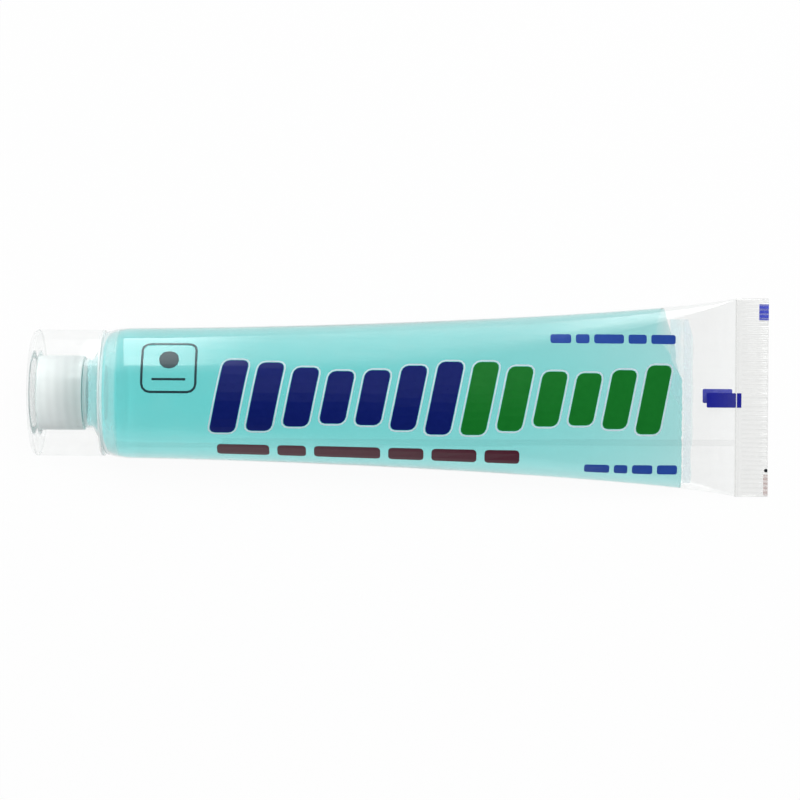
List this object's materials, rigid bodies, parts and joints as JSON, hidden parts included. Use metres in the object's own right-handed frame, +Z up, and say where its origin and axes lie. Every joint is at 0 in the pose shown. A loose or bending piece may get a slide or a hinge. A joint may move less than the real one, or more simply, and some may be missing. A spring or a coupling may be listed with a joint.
{
  "type": "toothpaste tube",
  "caption": "Clear gel toothpaste tube lying flat: round shoulder, crimped flat tail, screw cap that pulls off, and slanted colour bars printed on the front.",
  "frame": {"origin": "under the middle of the tube, on the surface that it lies on", "axes": "+X along the tube from the cap to the crimped tail, +Y across it, +Z up out of the printed front"},
  "size_m": [0.1592, 0.0436, 0.028],
  "materials": {
    "cap_plastic": "translucent natural polypropylene, satin",
    "head_plastic": "translucent polyethylene, satin",
    "clear_film": "clear glossy film",
    "gel": "clear teal gel",
    "pale_ink": "printed ink, glossy",
    "navy_ink": "printed ink, glossy",
    "green_ink": "printed ink, glossy",
    "maroon_ink": "printed ink, glossy",
    "blue_ink": "printed ink, glossy",
    "dark_ink": "printed ink, glossy",
    "back_mark_ink": "printed ink seen from behind, glossy",
    "pink_ink": "printed ink, glossy"
  },
  "bodies": {
    "tube": {"head": "head_plastic", "sleeve": "clear_film", "gel": "gel", "keyline": "pale_ink", "navy_bars": "navy_ink", "green_bars": "green_ink", "maroon_dashes": "maroon_ink", "blue_dashes": "blue_ink", "badge": "dark_ink", "front_eye_mark": "navy_ink", "back_eye_mark": "back_mark_ink", "crimp_blue_mark": "blue_ink", "crimp_pink_mark": "pink_ink"},
    "cap": {"cap": "cap_plastic"}
  },
  "joints": [
    {"name": "cap_pull", "type": "slide", "parent": "tube", "child": "cap", "axis": [-1, 0, 0], "range_m": [0, 0.03]}
  ]
}
